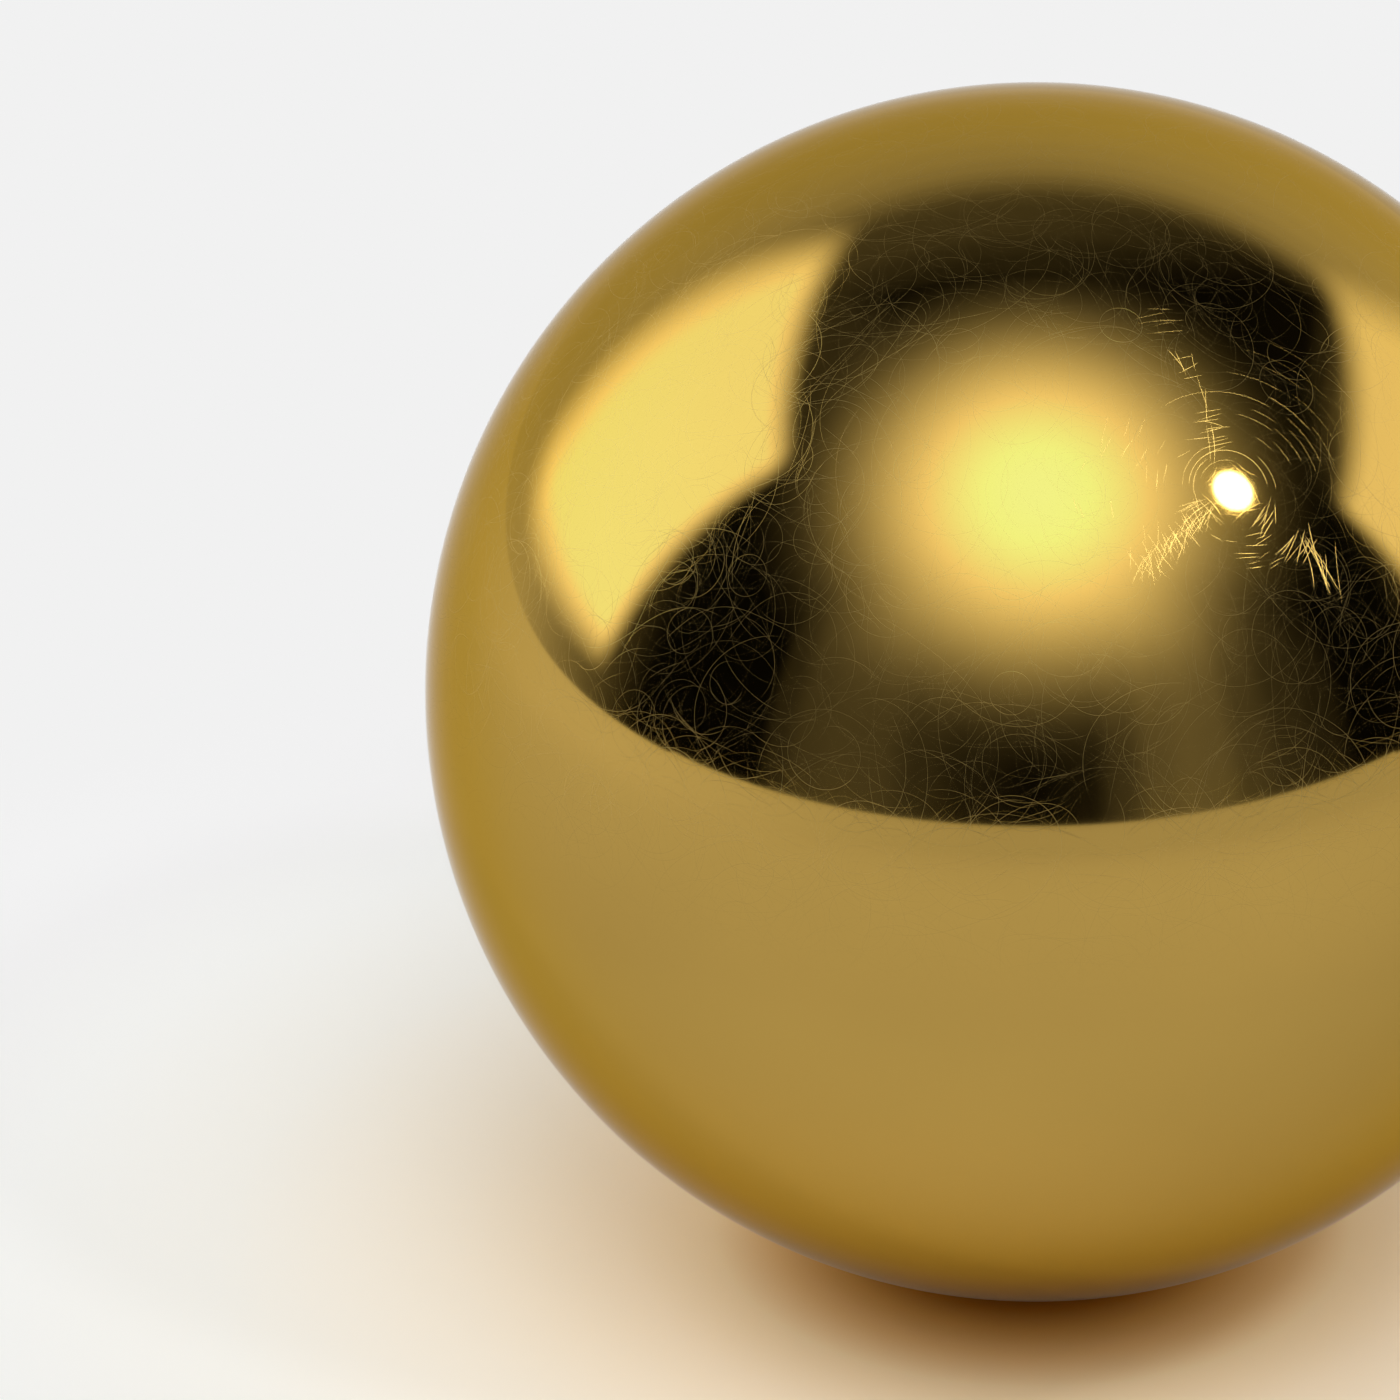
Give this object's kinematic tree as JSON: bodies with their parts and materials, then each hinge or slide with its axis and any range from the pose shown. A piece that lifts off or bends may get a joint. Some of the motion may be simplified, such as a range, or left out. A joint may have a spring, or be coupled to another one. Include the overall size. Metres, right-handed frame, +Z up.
{
  "type": "brass sphere",
  "caption": "Plain solid ball of polished brass, turned in one piece with no bore, flat, seam or base; a desk ornament or paperweight.",
  "frame": {"origin": "centre of the sphere", "axes": "+Z up; the ball is the same about every axis, so +X and +Y are two level directions with no mark of their own"},
  "size_m": [0.05, 0.05, 0.05],
  "materials": {
    "polished_brass": "mirror polished, covered in fine hairline scratches from handling"
  },
  "bodies": {
    "root": {"brass_sphere": "polished_brass"}
  },
  "joints": []
}
